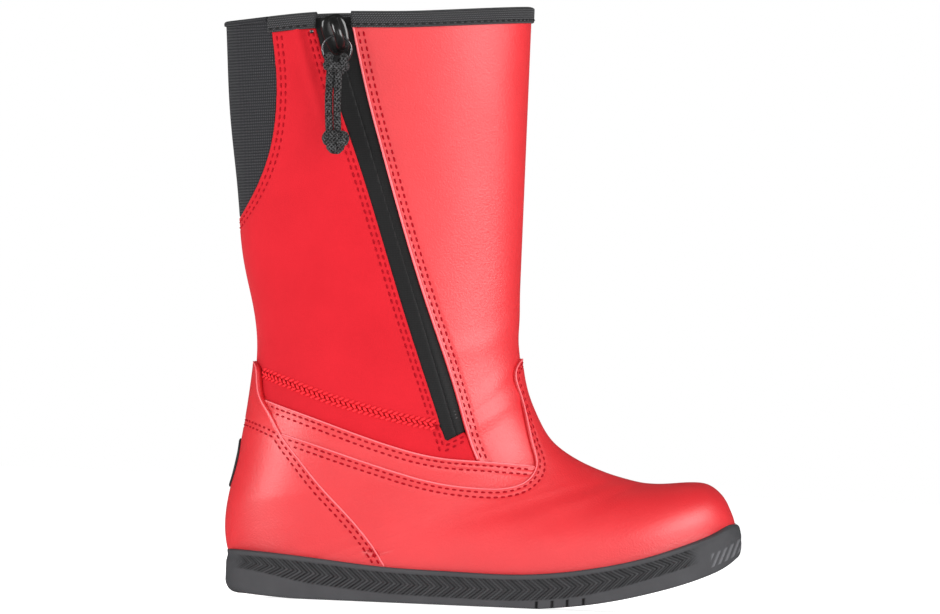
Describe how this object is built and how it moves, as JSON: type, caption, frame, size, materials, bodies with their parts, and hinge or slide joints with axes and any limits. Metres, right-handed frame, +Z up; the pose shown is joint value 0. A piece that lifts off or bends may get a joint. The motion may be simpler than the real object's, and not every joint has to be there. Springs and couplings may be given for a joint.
{
  "type": "zip-up boot",
  "caption": "Calf-high boot with a cup sole, a slanted side zip with cord pull, an elastic gore at the calf and a bound top edge.",
  "frame": {"origin": "on the ground under the middle of the sole's flat tread", "axes": "+X towards the toe, +Z up the leg, -Y towards the side with the zip"},
  "size_m": [0.1947, 0.0839, 0.2161],
  "materials": {
    "sole_rubber": "matte",
    "foam": "matte",
    "board": "matte",
    "footbed_cloth": "matte",
    "red_leather": "satin",
    "red_softshell": "matte",
    "grey_elastic": "matte",
    "grey_binding": "matte",
    "zip_tape": "satin",
    "zip_coil": "matte",
    "lining_cloth": "matte",
    "stiffener": "matte",
    "badge_rubber": "matte",
    "slider_black": "gloss",
    "ring_metal": "gloss",
    "cord_braid": "matte",
    "staple_metal": "satin"
  },
  "bodies": {
    "boot": {"outsole": "sole_rubber", "midsole_foam": "foam", "lasting_board": "board", "footbed": "footbed_cloth", "heel_stiffener": "stiffener", "toe_puff": "stiffener", "vamp_interlining": "foam", "heel_counter": "red_leather", "ankle_band": "red_leather", "vamp": "red_leather", "heel_badge": "badge_rubber", "front_panel": "red_leather", "lower_rear_panel": "red_softshell", "elastic_gore": "grey_elastic", "gore_hem": "grey_elastic", "rear_panel": "red_softshell", "medial_rear_panel": "red_softshell", "top_binding_front": "grey_binding", "lining_shaft": "lining_cloth", "lining_foot": "lining_cloth", "zip_guard": "lining_cloth", "zip_tape_front": "zip_tape", "zip_coil_front": "zip_coil", "zip_tape_lower": "zip_tape", "zip_bottom_stop": "zip_coil"},
    "flap": {"rear_panel_flap": "red_softshell", "top_binding_rear": "grey_binding", "lining_flap": "lining_cloth", "zip_tape_rear": "zip_tape", "zip_coil_rear": "zip_coil", "zip_top_stop": "staple_metal"},
    "slider": {"slider_body": "slider_black", "slider_bail": "slider_black"},
    "ring": {"pull_ring": "ring_metal"},
    "cord": {"pull_cord": "cord_braid", "pull_wrap": "cord_braid", "pull_knot": "cord_braid"}
  },
  "joints": [
    {"name": "zip_slide", "type": "slide", "parent": "boot", "child": "slider", "axis": [0.3292, 0.0352, -0.9436], "range_m": [0, 0.13]},
    {"name": "flap_fold", "type": "hinge", "parent": "boot", "child": "flap", "pos_m": [-0.0853, -0.028, 0.2075], "axis": [0.4298, -0.0226, -0.9026], "range_deg": [0, 28], "deforming": ["zip_tape_rear", "zip_coil_rear"]},
    {"name": "ring_flip", "type": "hinge", "parent": "slider", "child": "ring", "pos_m": [-0.06053, -0.03888, 0.2025], "axis": [-1, 0, 0], "range_deg": [0, 120]},
    {"name": "cord_swing", "type": "hinge", "parent": "ring", "child": "cord", "pos_m": [-0.06053, -0.03888, 0.1973], "axis": [0, -1, 0], "range_deg": [-30, 50]}
  ],
  "couplings": [
    {"joint": "flap_fold", "follows": "zip_slide", "rad_per_m": 3.7591}
  ]
}
